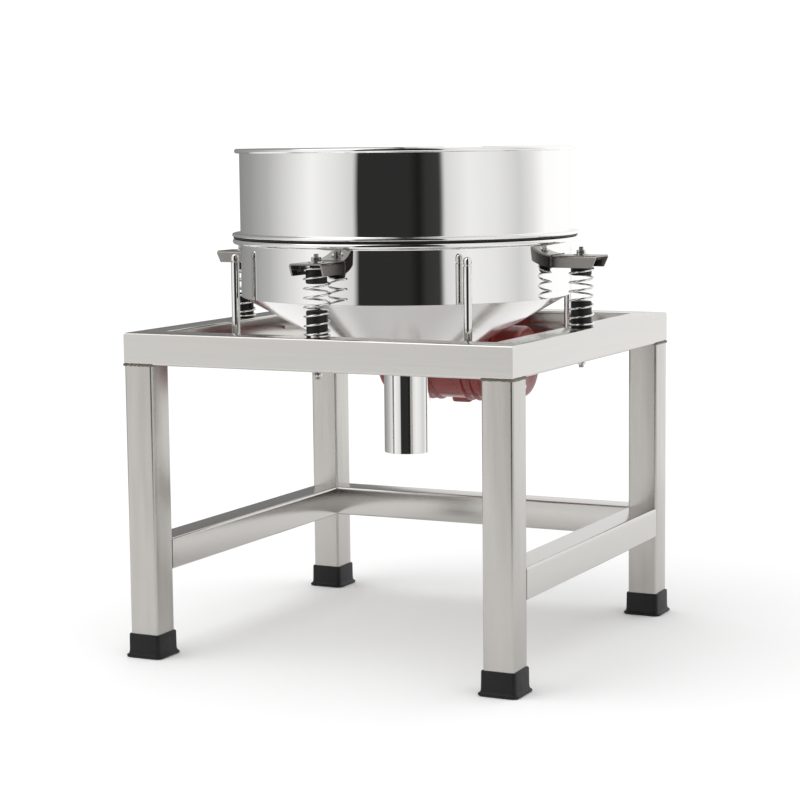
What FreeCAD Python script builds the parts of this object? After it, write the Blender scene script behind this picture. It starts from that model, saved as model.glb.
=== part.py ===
import FreeCAD, Part
import math
import os
from FreeCAD import Placement, Rotation, Vector

# Small vibrating sieve: a round two-deck sieve on four coil springs, on a welded table frame.
# Millimetres. +Z is up, +X is to the right of a user at the front, -Y is the front.
# The origin is on the floor, under the sieve's axis.

# ---- table frame: square stainless tube, welded ----
frame_height = 390.0
tube_side = 38.0
tube_wall = 1.5
tube_corner = 3.0
stretcher_height = 140.0

# ---- rubber foot caps ----
foot_height = 28.0
foot_base = 5.0
foot_wall = 2.5
foot_lip = 6.0
foot_lip_height = 3.0
foot_corner = 4.0

# ---- corner braces and guide posts ----
brace_width = 30.0
brace_thickness = 4.0
brace_drop = 17.0
post_gap = 9.0
post_diameter = 10.0
post_height = 90.0
post_neck_height = 1.6
post_neck_diameter = 7.0
post_head_height = 9.0
post_stud_diameter = 8.0
post_stud_tip = 4.0

# ---- spring mounts ----
spring_offset = 29.0
spring_length = 83.5
spring_outer_diameter = 31.0
spring_wire = 2.5
spring_active_turns = 7
spring_end_rise = 2.6
spring_runs_per_turn = 10
spring_seat_gap = 0.3
buffer_diameter = 24.6
lower_buffer_height = 31.0
upper_buffer_height = 22.0
bolt_diameter = 6.0
bolt_tip = 4.0
bolt_head_height = 4.0
hole_clearance = 0.6
nut_flats = 10.0
nut_height = 5.0
washer_diameter = 18.0
washer_thickness = 1.2

# ---- spring brackets on the lower barrel ----
bracket_width = 42.0
bracket_end = 26.0
bracket_sheet = 2.0
bracket_depth = 14.5
bracket_corner = 5.0
bracket_below_rim = 20.5

# ---- barrels, cone and spout ----
barrel_radius = 202.0
barrel_sheet = 1.2
lower_barrel_height = 71.0
lower_rim_reach = 9.5
lower_rim_height = 7.0
upper_barrel_height = 105.6
upper_flange_reach = 10.0
upper_flange_height = 3.6
rim_bead_diameter = 5.6
rim_bead_reach = 3.2
cone_height = 97.0
spout_radius = 28.5
spout_wall = 1.5
spout_length = 99.0

# ---- screen ----
gasket_reach = 8.8
gasket_overlap = 4.0
gasket_lip = 0.8
gasket_wall = 1.2
screen_ring_width = 19.6
screen_ring_thickness = 0.8
mesh_margin = 2.0
mesh_thickness = 0.4

# ---- vibration motor ----
motor_radius = 50.0
motor_bore = 44.0
motor_length = 120.0
motor_below_barrel = 90.0
motor_foot_height = 54.2
motor_rib_height = 3.0
motor_rib_width = 3.0
motor_rib_places = (22.0, 34.0, 46.0)
shield_thickness = 8.0
cover_radius = 46.5
cover_length = 37.0
cover_wall = 2.5
cover_edge = 6.0
shaft_diameter = 15.0
bearing_clearance = 0.05
bearing_outer_diameter = 32.0
stator_inner = 30.0
stator_length = 60.0
rotor_air_gap = 0.6
weight_radius = 36.0
weight_hub_radius = 13.0
weight_thickness = 10.0
weight_gap = 3.0
lug_reach = 56.0
lug_root = 24.0
lug_web = 38.0
lug_thickness = 10.0
lug_start = 20.0
lug_end = 46.0
motor_bolt_diameter = 8.0
motor_bolt_flats = 13.0
motor_bolt_head = 5.5
plate_thickness = 4.0
plate_half_width = 52.0
plate_half_length = 60.0
plate_weld_gap = 0.3
gusset_place = 42.0
gusset_thickness = 4.0
gusset_height = 18.0
terminal_place = -4.0
terminal_width = 28.0
terminal_length = 26.0
terminal_reach = 58.0
terminal_corner = 5.0
lid_thickness = 2.5
gland_radius = 4.5
gland_length = 12.0

# ---- sizes that follow ----
beam_line = barrel_radius + spring_offset
half_side = beam_line + tube_side / 2
inner_face = beam_line - tube_side / 2
post_circle_radius = barrel_radius + post_gap + post_diameter / 2
leg_top = frame_height - tube_side
web_underside = frame_height + spring_length
bracket_top = web_underside + bracket_sheet
seam_height = bracket_top + bracket_below_rim
barrel_bottom = seam_height - lower_barrel_height
spout_top = barrel_bottom - cone_height
spout_bottom = spout_top - spout_length
lower_rim_radius = barrel_radius + lower_rim_reach
upper_flange_radius = barrel_radius + upper_flange_reach
gasket_radius = barrel_radius + gasket_reach
gasket_inner = barrel_radius - gasket_overlap
gasket_thickness = 2 * gasket_lip + screen_ring_thickness
screen_ring_radius = gasket_radius - gasket_wall
screen_ring_inner = screen_ring_radius - screen_ring_width
mesh_radius = gasket_inner - mesh_margin
upper_bottom = seam_height + gasket_thickness
upper_top = upper_bottom + upper_barrel_height
cone_angle = math.degrees(math.atan2(cone_height, barrel_radius - spout_radius))
motor_axis_gap = motor_foot_height + plate_thickness + plate_weld_gap
motor_station = math.hypot(cone_height, barrel_radius - spout_radius) - motor_below_barrel

SIDES = {"front": -90, "right": 0, "rear": 90, "left": 180}
CORNERS = {"front_left": (-1, -1), "front_right": (1, -1), "rear_left": (-1, 1), "rear_right": (1, 1)}


def save(name, shape):
    """Write one sub-part to its own STEP file."""
    shape.exportStep("parts/" + name + ".step")
    print(name, len(shape.Solids), "solid(s)", round(shape.Volume / 1000, 1), "cm3")


def cylinder(radius, low, high, x=0.0, y=0.0):
    """Upright cylinder between two heights."""
    return Part.makeCylinder(radius, high - low, Vector(x, y, low))


def rod(radius, start, end):
    """Cylinder along X between two stations, on the X axis."""
    return Part.makeCylinder(radius, end - start, Vector(start, 0, 0), Vector(1, 0, 0))


def ring(outer, inner, low, high):
    """Flat ring round the sieve's axis."""
    return cylinder(outer, low, high).cut(cylinder(inner, low - 1, high + 1))


def block(x, y, z):
    """Box from three (low, high) pairs."""
    return Part.makeBox(x[1] - x[0], y[1] - y[0], z[1] - z[0], Vector(x[0], y[0], z[0]))


def upright_edges(shape):
    """Edges of a box that run along Z."""
    return [e for e in shape.Edges if abs(e.Vertexes[0].Z - e.Vertexes[-1].Z) > 0.5 * shape.BoundBox.ZLength]


def rounded_block(side_x, side_y, low, high, corner):
    """Box centred on the Z axis with its four upright edges rounded."""
    body = block((-side_x / 2, side_x / 2), (-side_y / 2, side_y / 2), (low, high))
    return body.makeFillet(corner, upright_edges(body))


def turned_profile(points):
    """Solid of revolution round the Z axis from (radius, height) corners and 3-point arcs."""
    edges = []
    here = points[0]
    for step in points[1:] + [points[0]]:
        if len(step) == 4:
            middle, end = step[:2], step[2:]
            arc = Part.Arc(Vector(here[0], 0, here[1]), Vector(middle[0], 0, middle[1]), Vector(end[0], 0, end[1]))
            edges.append(arc.toShape())
            here = end
        else:
            edges.append(Part.makeLine(Vector(here[0], 0, here[1]), Vector(step[0], 0, step[1])))
            here = step
    return Part.Face(Part.Wire(edges)).revolve(Vector(0, 0, 0), Vector(0, 0, 1), 360)


def moved(shape, x=0.0, y=0.0, z=0.0):
    """Copy shifted by a distance."""
    copy = shape.copy()
    copy.translate(Vector(x, y, z))
    return copy


def swung(shape, degrees):
    """Copy turned round the sieve's axis, from the right side (+X) to another side."""
    copy = shape.copy()
    copy.rotate(Vector(0, 0, 0), Vector(0, 0, 1), degrees)
    return copy


def all_sides(shape):
    """The same piece at all four spring mounts, as separate solids."""
    return Part.makeCompound([swung(shape, angle) for angle in SIDES.values()])


def hexagon(flats, low, high, x=0.0, y=0.0):
    """Hexagonal prism of a nut or bolt head."""
    corner = flats / math.sqrt(3)
    points = [Vector(x + corner * math.cos(math.radians(a)), y + corner * math.sin(math.radians(a)), low)
              for a in range(0, 361, 60)]
    return Part.Face(Part.makePolygon(points)).extrude(Vector(0, 0, high - low))


# ---------------------------------------------------------------- table frame

def square_tube(low, high):
    """Upright square tube centred on the Z axis."""
    outside = rounded_block(tube_side, tube_side, low, high, tube_corner)
    bore = tube_side - 2 * tube_wall
    return outside.cut(rounded_block(bore, bore, low - 1, high + 1, tube_corner - tube_wall))


def lying_tube(half_length):
    """Square tube along X, centred on the origin."""
    tube = square_tube(-half_length, half_length)
    tube.rotate(Vector(0, 0, 0), Vector(0, 1, 0), 90)
    return tube


def top_beam():
    """Right-hand top beam: mitred at both ends, drilled for its spring bolt."""
    tube = lying_tube(half_side)
    tube.rotate(Vector(0, 0, 0), Vector(0, 0, 1), 90)
    tube = moved(tube, beam_line, 0, frame_height - tube_side / 2)
    corners = [(half_side, -half_side), (half_side, half_side), (inner_face, inner_face),
               (inner_face, -inner_face), (half_side, -half_side)]
    outline = Part.makePolygon([Vector(x, y, leg_top) for x, y in corners])
    tube = tube.common(Part.Face(outline).extrude(Vector(0, 0, tube_side)))
    hole = cylinder((bolt_diameter + hole_clearance) / 2, leg_top - 1, frame_height + 1, beam_line)
    return tube.cut(hole)


def leg(corner):
    """Leg under one corner of the top, standing on the rubber of its foot cap."""
    return moved(square_tube(foot_base, leg_top), corner[0] * beam_line, corner[1] * beam_line)


def stretcher():
    """Right-hand lower rail, butted between the legs and flush with their outer faces."""
    tube = lying_tube(inner_face)
    tube.rotate(Vector(0, 0, 0), Vector(0, 0, 1), 90)
    return moved(tube, beam_line, 0, stretcher_height - tube_side / 2)


def foot_cap(corner):
    """Moulded rubber cap: a socket for the tube, flared out to a thin lip on the floor."""
    sleeve_side = tube_side + 2 * foot_wall
    lip_side = tube_side + 2 * foot_lip
    sleeve = rounded_block(sleeve_side, sleeve_side, 0, foot_height, foot_corner)
    lip = rounded_block(lip_side, lip_side, 0, foot_lip_height, foot_corner + foot_lip - foot_wall)
    cap = sleeve.fuse(lip).removeSplitter()
    level = [e for e in cap.Edges if abs(e.BoundBox.ZMin - foot_lip_height) < 0.1 and e.BoundBox.ZLength < 0.1]
    root = [e for e in level if e.BoundBox.XMax < sleeve_side / 2 + 0.1 and e.BoundBox.XMin > -sleeve_side / 2 - 0.1
            and e.BoundBox.YMax < sleeve_side / 2 + 0.1 and e.BoundBox.YMin > -sleeve_side / 2 - 0.1]
    cap = cap.makeFillet(foot_lip - foot_wall - 0.5, root)
    pocket = rounded_block(tube_side, tube_side, foot_base, foot_height + 1, tube_corner)
    return moved(cap.cut(pocket), corner[0] * beam_line, corner[1] * beam_line)


brace_top = frame_height - brace_drop
brace_bottom = brace_top - brace_thickness


def corner_brace():
    """Flat bar across the corner between +X and +Y, its ends cut to the beams' inner faces."""
    bar = block((post_circle_radius - brace_width / 2, post_circle_radius + brace_width / 2),
                (-inner_face, inner_face), (brace_bottom, brace_top))
    bar = swung(bar, 45)
    window = block((-inner_face, inner_face), (-inner_face, inner_face), (brace_bottom, brace_top))
    hole = cylinder((post_stud_diameter + hole_clearance) / 2, brace_bottom - 1, brace_top + 1, post_circle_radius)
    return bar.common(window).cut(swung(hole, 45))


def guide_post():
    """Post at the right side: stud below the brace, plain rod, groove and domed head."""
    top = frame_height + post_height
    neck_top = top - post_head_height
    rod_top = neck_top - post_neck_height
    radius = post_diameter / 2
    stud_bottom = brace_bottom - washer_thickness - nut_height - post_stud_tip
    stud = post_stud_diameter / 2
    points = [(0, stud_bottom), (stud, stud_bottom), (stud, brace_top), (radius, brace_top), (radius, rod_top),
              (post_neck_diameter / 2, rod_top), (post_neck_diameter / 2, neck_top), (radius, neck_top),
              (radius, top - radius), (radius * math.sqrt(0.5), top - radius * (1 - math.sqrt(0.5)), 0, top)]
    return moved(turned_profile(points), post_circle_radius)


def post_nut():
    """Washer and nut on the stud below the brace."""
    nut_top = brace_bottom - washer_thickness
    nut = hexagon(post_stud_diameter * 1.6, nut_top - nut_height, nut_top, post_circle_radius)
    washer = cylinder(washer_diameter / 2, nut_top, brace_bottom, post_circle_radius)
    stud = cylinder(post_stud_diameter / 2, nut_top - nut_height - 1, brace_bottom + 1, post_circle_radius)
    return nut.fuse(washer).removeSplitter().cut(stud)


def build_frame():
    beam, rail = top_beam(), stretcher()
    for side, angle in SIDES.items():
        save("top_beam_" + side, swung(beam, angle))
        if side != "front":
            save("stretcher_" + side, swung(rail, angle))
    for name, corner in CORNERS.items():
        save("leg_" + name, leg(corner))
        save("foot_cap_" + name, foot_cap(corner))
        turn = math.degrees(math.atan2(corner[1], corner[0]))
        save("guide_post_" + name, swung(guide_post(), turn))
    diagonals = (45, 135, 225, 315)
    save("corner_braces", Part.makeCompound([swung(corner_brace(), a - 45) for a in diagonals]))
    save("guide_post_nuts", Part.makeCompound([swung(post_nut(), a) for a in diagonals]))


# ---------------------------------------------------------------- spring mounts

def lower_buffer():
    """Rubber plug that centres the spring's lower end on the beam, with a pocket for its bolt head."""
    top = frame_height + lower_buffer_height
    plug = cylinder(buffer_diameter / 2, frame_height, top, beam_line)
    plug = plug.cut(cylinder(bolt_diameter / 2, frame_height - 1, top + 1, beam_line))
    return plug.cut(cylinder(nut_flats * 0.62, top - bolt_head_height, top + 1, beam_line))


def lower_bolt():
    """Bolt with its head sunk in the lower plug, down through the beam."""
    head_top = frame_height + lower_buffer_height
    head = hexagon(nut_flats, head_top - bolt_head_height, head_top, beam_line)
    tip = leg_top - washer_thickness - nut_height - bolt_tip
    return head.fuse(cylinder(bolt_diameter / 2, tip, head_top - bolt_head_height, beam_line)).removeSplitter()


def bolt_nut(seat, direction):
    """Washer and nut on a spring bolt; the washer lies on the seat height."""
    washer_end = seat + direction * washer_thickness
    nut_end = washer_end + direction * nut_height
    washer = cylinder(washer_diameter / 2, min(seat, washer_end), max(seat, washer_end), beam_line)
    nut = hexagon(nut_flats, min(washer_end, nut_end), max(washer_end, nut_end), beam_line)
    bore = cylinder(bolt_diameter / 2, min(seat, nut_end) - 1, max(seat, nut_end) + 1, beam_line)
    return washer.fuse(nut).removeSplitter().cut(bore)


def coil_height(turns):
    """Rise of the wire after so many turns: one closed turn at each end, an even pitch between."""
    rise = spring_length - 2 * spring_seat_gap - spring_wire
    if turns <= 1:
        return spring_end_rise * turns
    if turns >= spring_active_turns + 1:
        return rise - spring_end_rise * (spring_active_turns + 2 - turns)
    return spring_end_rise + (rise - 2 * spring_end_rise) * (turns - 1) / spring_active_turns


def wire_section(turns):
    """Six-sided cross-section of the spring wire at one place along the coil."""
    mean_radius = (spring_outer_diameter - spring_wire) / 2
    wire_radius = spring_wire / 2
    start = frame_height + spring_seat_gap + wire_radius + coil_height(turns)
    corners = [Vector(mean_radius + wire_radius * math.cos(math.radians(a)), 0,
                      start + wire_radius * math.sin(math.radians(a))) for a in range(0, 361, 60)]
    section = Part.makePolygon(corners)
    section.rotate(Vector(0, 0, 0), Vector(0, 0, 1), 360 * turns)
    return section


def coil_spring():
    """Compression spring round the two plugs, its wire made of short straight runs."""
    steps = (spring_active_turns + 2) * spring_runs_per_turn
    sections = [wire_section(i / spring_runs_per_turn) for i in range(steps + 1)]
    return moved(Part.makeLoft(sections, True, True), beam_line)


def upper_buffer():
    """Rubber plug hanging inside the bracket, with a pocket for its bolt head."""
    low = web_underside - upper_buffer_height
    plug = cylinder(buffer_diameter / 2, low, web_underside, beam_line)
    plug = plug.cut(cylinder(bolt_diameter / 2, low - 1, web_underside + 1, beam_line))
    return plug.cut(cylinder(nut_flats * 0.62, low - 1, low + bolt_head_height, beam_line))


def upper_bolt():
    """Bolt with its head sunk in the upper plug, up through the bracket."""
    low = web_underside - upper_buffer_height
    tip = bracket_top + washer_thickness + nut_height + bolt_tip
    head = hexagon(nut_flats, low, low + bolt_head_height, beam_line)
    return head.fuse(cylinder(bolt_diameter / 2, low + bolt_head_height, tip, beam_line)).removeSplitter()


def spring_bracket():
    """Folded channel on the barrel, open below and at its outer end, scribed to the barrel's curve."""
    outer_end = beam_line + bracket_end
    half = bracket_width / 2
    low = bracket_top - bracket_depth
    channel = block((barrel_radius - bracket_width, outer_end), (-half, half), (low, bracket_top))
    folds = [e for e in channel.Edges if abs(e.BoundBox.ZMin - bracket_top) < 0.1 and e.BoundBox.XLength > 1]
    channel = channel.makeFillet(bracket_sheet * 1.5, folds)
    inside = block((0, outer_end + 1), (bracket_sheet - half, half - bracket_sheet), (low - 1, web_underside))
    channel = channel.cut(inside)
    channel = channel.cut(end_rounding(outer_end, low))
    channel = channel.cut(cylinder(barrel_radius, low - 1, bracket_top + 1))
    hole = cylinder((bolt_diameter + hole_clearance) / 2, low - 1, bracket_top + 1, beam_line)
    return channel.cut(hole)


def end_rounding(outer_end, low):
    """What a round lower corner takes off the outer ends of a bracket's two flanges."""
    centre = Vector(outer_end - bracket_corner, -bracket_width, low + bracket_corner)
    square = block((outer_end - bracket_corner, outer_end + 1), (-bracket_width, bracket_width),
                   (low - 1, low + bracket_corner))
    return square.cut(Part.makeCylinder(bracket_corner, 2 * bracket_width, centre, Vector(0, 1, 0)))


def build_spring_mounts():
    for side, angle in SIDES.items():
        save("lower_buffer_" + side, swung(lower_buffer(), angle))
        save("spring_" + side, swung(coil_spring(), angle))
        save("spring_bracket_" + side, swung(spring_bracket(), angle))
    save("lower_bolts", all_sides(lower_bolt()))
    save("lower_nuts", all_sides(bolt_nut(leg_top, -1)))
    save("upper_buffers", all_sides(upper_buffer()))
    save("upper_bolts", all_sides(upper_bolt()))
    save("upper_nuts", all_sides(bolt_nut(bracket_top, 1)))


# ---------------------------------------------------------------- barrels, cone, spout, screen

def lower_barrel():
    """Straight ring with a rolled rim that the screen lies on."""
    inner = barrel_radius - barrel_sheet
    roll = lower_rim_height / 2
    centre = lower_rim_radius - roll
    rim_low = seam_height - lower_rim_height
    return turned_profile([(inner, barrel_bottom), (barrel_radius, barrel_bottom), (barrel_radius, rim_low),
                           (centre, rim_low), (lower_rim_radius, seam_height - roll, centre, seam_height),
                           (inner, seam_height)])


def discharge_cone():
    """Sheet cone under the lower barrel."""
    slope_sheet = barrel_sheet
    return turned_profile([(spout_radius, spout_top), (barrel_radius, barrel_bottom),
                           (barrel_radius - slope_sheet, barrel_bottom), (spout_radius - spout_wall, spout_top)])


def discharge_spout():
    """Pipe that the cone empties through."""
    return ring(spout_radius, spout_radius - spout_wall, spout_bottom, spout_top)


def upper_barrel():
    """Feed ring: flat bottom flange, straight wall, rim rolled outwards round a wire."""
    inner = barrel_radius - barrel_sheet
    flange_top = upper_bottom + upper_flange_height
    bead_centre = barrel_radius + rim_bead_reach
    bead_low = upper_top - rim_bead_diameter
    bead_arc = (bead_centre + rim_bead_diameter / 2, (bead_low + upper_top) / 2, bead_centre, upper_top)
    return turned_profile([(inner, upper_bottom), (upper_flange_radius, upper_bottom),
                           (upper_flange_radius, flange_top), (barrel_radius, flange_top),
                           (barrel_radius, bead_low), (bead_centre, bead_low), bead_arc, (inner, upper_top)])


def screen_ring():
    """Flat ring that the woven mesh is stretched on."""
    low = seam_height + gasket_lip
    return ring(screen_ring_radius, screen_ring_inner, low, low + screen_ring_thickness)


def screen_mesh():
    """Woven mesh, drawn as one thin disc, bonded under the ring."""
    high = seam_height + gasket_lip
    return cylinder(mesh_radius, high - mesh_thickness, high)


def screen_gasket():
    """Rubber U strip round the edge of the screen ring."""
    low, high = seam_height, seam_height + gasket_thickness
    slot_low, slot_high = low + gasket_lip, high - gasket_lip
    return turned_profile([(gasket_inner, low), (gasket_radius, low), (gasket_radius, high), (gasket_inner, high),
                           (gasket_inner, slot_high), (screen_ring_radius, slot_high),
                           (screen_ring_radius, slot_low), (gasket_inner, slot_low)])


def build_sieve():
    save("lower_barrel", lower_barrel())
    save("discharge_cone", discharge_cone())
    save("discharge_spout", discharge_spout())
    save("screen_ring", screen_ring())
    save("screen_mesh", screen_mesh())
    save("screen_gasket", screen_gasket())
    save("upper_barrel", upper_barrel())


# ---------------------------------------------------------------- vibration motor
# Drawn with its shaft on the X axis and its feet facing +Z, then laid against the rear of the cone.

def motor_centre():
    """Middle of the motor's shaft, set off squarely from the rear line of the cone."""
    angle = math.radians(cone_angle)
    y = spout_radius + motor_station * math.cos(angle) + motor_axis_gap * math.sin(angle)
    z = spout_top + motor_station * math.sin(angle) - motor_axis_gap * math.cos(angle)
    return Vector(0, y, z)


def on_cone(shape):
    """Tilt a motor piece to the cone's slope and put it in its place."""
    copy = shape.copy()
    copy.Placement = Placement(motor_centre(), Rotation(Vector(1, 0, 0), cone_angle)).multiply(copy.Placement)
    return copy


def both_ends(shape):
    """A piece at the right end of the motor and its mirror image at the left, as separate solids."""
    return Part.makeCompound([shape, shape.mirror(Vector(0, 0, 0), Vector(1, 0, 0))])


def lug_centres():
    """Middle of the four foot bolts, in the motor's own place."""
    x = (lug_start + lug_end) / 2
    y = (lug_web + lug_reach) / 2
    return [(sx * x, sy * y) for sx in (-1, 1) for sy in (-1, 1)]


def motor_housing():
    """Ribbed barrel with two bearing shields and four foot lugs."""
    half = motor_length / 2
    body = rod(motor_radius, -half, half)
    for place in motor_rib_places:
        for sign in (-1, 1):
            centre = sign * place
            body = body.fuse(rod(motor_radius + motor_rib_height, centre - motor_rib_width / 2,
                                 centre + motor_rib_width / 2))
    for sx in (-1, 1):
        x = tuple(sorted((sx * lug_start, sx * lug_end)))
        for sy in (-1, 1):
            foot = tuple(sorted((sy * lug_root, sy * lug_reach)))
            web = tuple(sorted((sy * lug_root, sy * lug_web)))
            body = body.fuse(block(x, foot, (motor_foot_height - lug_thickness, motor_foot_height)))
            body = body.fuse(block(x, web, (lug_root, motor_foot_height)))
    body = body.cut(rod(motor_bore, shield_thickness - half, half - shield_thickness))
    body = body.cut(rod(bearing_outer_diameter / 2, -half - 1, half + 1))
    for x, y in lug_centres():
        hole = (motor_bolt_diameter + hole_clearance) / 2
        body = body.cut(cylinder(hole, motor_foot_height - lug_thickness - 1, motor_foot_height + 1, x, y))
    return body.removeSplitter()


def motor_end_cover():
    """Cup over the eccentric weights at the right end."""
    start, end = motor_length / 2, motor_length / 2 + cover_length
    cup = rod(cover_radius, start, end)
    rim = [e for e in cup.Edges if e.BoundBox.XMin > end - 0.1]
    cup = cup.makeFillet(cover_edge, rim)
    return cup.cut(rod(cover_radius - cover_wall, start - 1, end - cover_wall))


def motor_bearing():
    """Ball bearing in the right shield, drawn as one ring."""
    end = motor_length / 2
    outer = rod(bearing_outer_diameter / 2, end - shield_thickness, end)
    return outer.cut(rod(shaft_diameter / 2 + bearing_clearance, end - shield_thickness - 1, end + 1))


def motor_stator():
    """Laminated stator pressed in the housing."""
    half = stator_length / 2
    return rod(motor_bore, -half, half).cut(rod(stator_inner, -half - 1, half + 1))


def motor_bolt(x, y):
    """Bolt up through a lug, threaded into the plate."""
    head_top = motor_foot_height - lug_thickness
    far_side = motor_foot_height + plate_thickness
    bolt = hexagon(motor_bolt_flats, head_top - motor_bolt_head, head_top, x, y)
    return bolt.fuse(cylinder(motor_bolt_diameter / 2, head_top, far_side, x, y)).removeSplitter()


def outer_cone():
    """What the cone and lower barrel fill, with the weld gap added, to scribe plates to it."""
    grow = plate_weld_gap / math.cos(math.radians(cone_angle))
    slope = (barrel_radius - spout_radius) / cone_height
    low, high = spout_top - 2 * grow, barrel_bottom - grow
    top_radius = barrel_radius
    bottom_radius = barrel_radius - slope * (high - low)
    cone = Part.makeCone(bottom_radius, top_radius, high - low, Vector(0, 0, low))
    return cone.fuse(cylinder(barrel_radius, high, seam_height))


def motor_bracket():
    """Flat mounting plate with two side gussets cut to the cone."""
    low, high = motor_foot_height, motor_foot_height + plate_thickness
    length = (-plate_half_length, plate_half_length)
    plate = block((-plate_half_width, plate_half_width), length, (low, high))
    for sign in (-1, 1):
        x = tuple(sorted((sign * gusset_place, sign * (gusset_place + gusset_thickness))))
        plate = plate.fuse(block(x, length, (high, high + gusset_height)))
    for x, y in lug_centres():
        plate = plate.cut(cylinder(motor_bolt_diameter / 2, low - 1, high + 1, x, y))
    return on_cone(plate).cut(outer_cone()).removeSplitter()


def terminal_box():
    """Boss opposite the feet that holds the motor's terminals, seated on the round housing."""
    box = rounded_block(terminal_width, terminal_length, -terminal_reach, -motor_bore, terminal_corner)
    box = moved(box, terminal_place)
    return box.cut(rod(motor_radius, -motor_length / 2, motor_length / 2))


def terminal_lid():
    """Flat lid on the terminal boss."""
    low = -terminal_reach - lid_thickness
    lid = rounded_block(terminal_width, terminal_length, low, -terminal_reach, terminal_corner)
    rim = [e for e in lid.Edges if e.BoundBox.ZMax < low + 0.1]
    return moved(lid.makeFillet(lid_thickness * 0.6, rim), terminal_place)


def cable_gland():
    """Hexagon-shouldered gland on the rear side of the terminal boss, with no cable in it."""
    z = gland_radius - terminal_reach
    start = Vector(terminal_place, terminal_length / 2, z)
    back = Vector(0, 1, 0)
    shoulder = Part.makeCylinder(gland_radius, gland_length / 3, start, back)
    nose = Part.makeCone(gland_radius, gland_radius * 0.7, gland_length * 2 / 3, start + back * (gland_length / 3), back)
    return shoulder.fuse(nose).cut(Part.makeCylinder(gland_radius * 0.45, gland_length / 2, start + back * gland_length,
                                                     Vector(0, -1, 0)))


def rotor_shaft():
    """Shaft through both bearings and both weights."""
    reach = motor_length / 2 + weight_gap + weight_thickness + weight_gap
    return rod(shaft_diameter / 2, -reach, reach)


def rotor_core():
    """Laminated rotor on the shaft."""
    half = stator_length / 2
    core = rod(stator_inner - rotor_air_gap, -half, half)
    return core.cut(rod(shaft_diameter / 2, -half - 1, half + 1))


def eccentric_weight():
    """Half disc clamped on the right end of the shaft, hanging down at rest."""
    start = motor_length / 2 + weight_gap
    end = start + weight_thickness
    disc = rod(weight_radius, start, end)
    lower_half = block((start, end), (-weight_radius, weight_radius), (-weight_radius, 0))
    hub = rod(weight_hub_radius, start, end)
    return disc.common(lower_half).fuse(hub).removeSplitter().cut(rod(shaft_diameter / 2, start - 1, end + 1))


def build_motor():
    centre = motor_centre()
    bolts = [motor_bolt(x, y) for x, y in lug_centres()]
    save("motor_bracket", motor_bracket())
    save("motor_housing", on_cone(motor_housing()))
    save("motor_end_covers", on_cone(both_ends(motor_end_cover())))
    save("motor_bearings", on_cone(both_ends(motor_bearing())))
    save("motor_stator", on_cone(motor_stator()))
    save("motor_bolts", on_cone(Part.makeCompound(bolts)))
    save("terminal_box", on_cone(terminal_box()))
    save("terminal_lid", on_cone(terminal_lid()))
    save("cable_gland", on_cone(cable_gland()))
    save("rotor_shaft", moved(rotor_shaft(), *centre))
    save("rotor_core", moved(rotor_core(), *centre))
    save("eccentric_weights", moved(both_ends(eccentric_weight()), *centre))


os.makedirs("parts", exist_ok=True)
build_frame()
build_spring_mounts()
build_sieve()
build_motor()
print("motor centre", motor_centre(), "cone angle", round(cone_angle, 2))
print("spout bottom", spout_bottom, "seam", seam_height, "top", upper_top)
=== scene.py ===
# %% [markdown]
# # A small vibrating sieve
# The real machine is a round sieve of polished stainless sheet. It stands on four coil springs
# on a welded table of square tube, and a red vibration motor under its cone shakes it.
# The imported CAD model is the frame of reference: it says where everything is and what moves.
# Each step below puts a finer visual piece over a CAD part, or gives the CAD part a finish.

# %% Load the frame
import math
import bmesh
import bpy
from mathutils import Matrix, Vector


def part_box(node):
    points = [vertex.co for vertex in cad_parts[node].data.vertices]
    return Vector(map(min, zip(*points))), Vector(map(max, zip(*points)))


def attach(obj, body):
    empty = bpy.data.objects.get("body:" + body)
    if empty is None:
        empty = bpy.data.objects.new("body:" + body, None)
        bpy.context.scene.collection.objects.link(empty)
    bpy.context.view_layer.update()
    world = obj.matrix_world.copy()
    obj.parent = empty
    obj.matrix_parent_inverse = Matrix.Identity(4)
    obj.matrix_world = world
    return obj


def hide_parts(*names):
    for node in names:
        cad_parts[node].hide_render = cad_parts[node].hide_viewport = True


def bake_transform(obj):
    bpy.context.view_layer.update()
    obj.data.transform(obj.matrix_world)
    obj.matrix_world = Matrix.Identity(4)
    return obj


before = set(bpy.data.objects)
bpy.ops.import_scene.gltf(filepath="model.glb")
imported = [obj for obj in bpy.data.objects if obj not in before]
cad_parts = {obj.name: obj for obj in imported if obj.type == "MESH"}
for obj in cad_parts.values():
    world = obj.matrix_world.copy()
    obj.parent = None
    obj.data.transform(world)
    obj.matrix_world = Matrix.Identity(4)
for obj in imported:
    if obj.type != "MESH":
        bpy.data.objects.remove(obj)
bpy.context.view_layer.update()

# %% [markdown]
# ## Finishes
# Bare steel is a metal whose look is nearly all reflection, so its colour stays pale and even,
# and the finish is in the roughness and in a very slight bump. A stretched noise gives the
# grinding marks of tube, a round one the faint ripple of rolled sheet. Rubber and paint are
# not metals: they get their own colour, a soft highlight and a fine grain. The legs are ground
# more roughly than the top tubes, so their satin is rougher and less even, and its colour is painted darker
# as painted shade.

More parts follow.
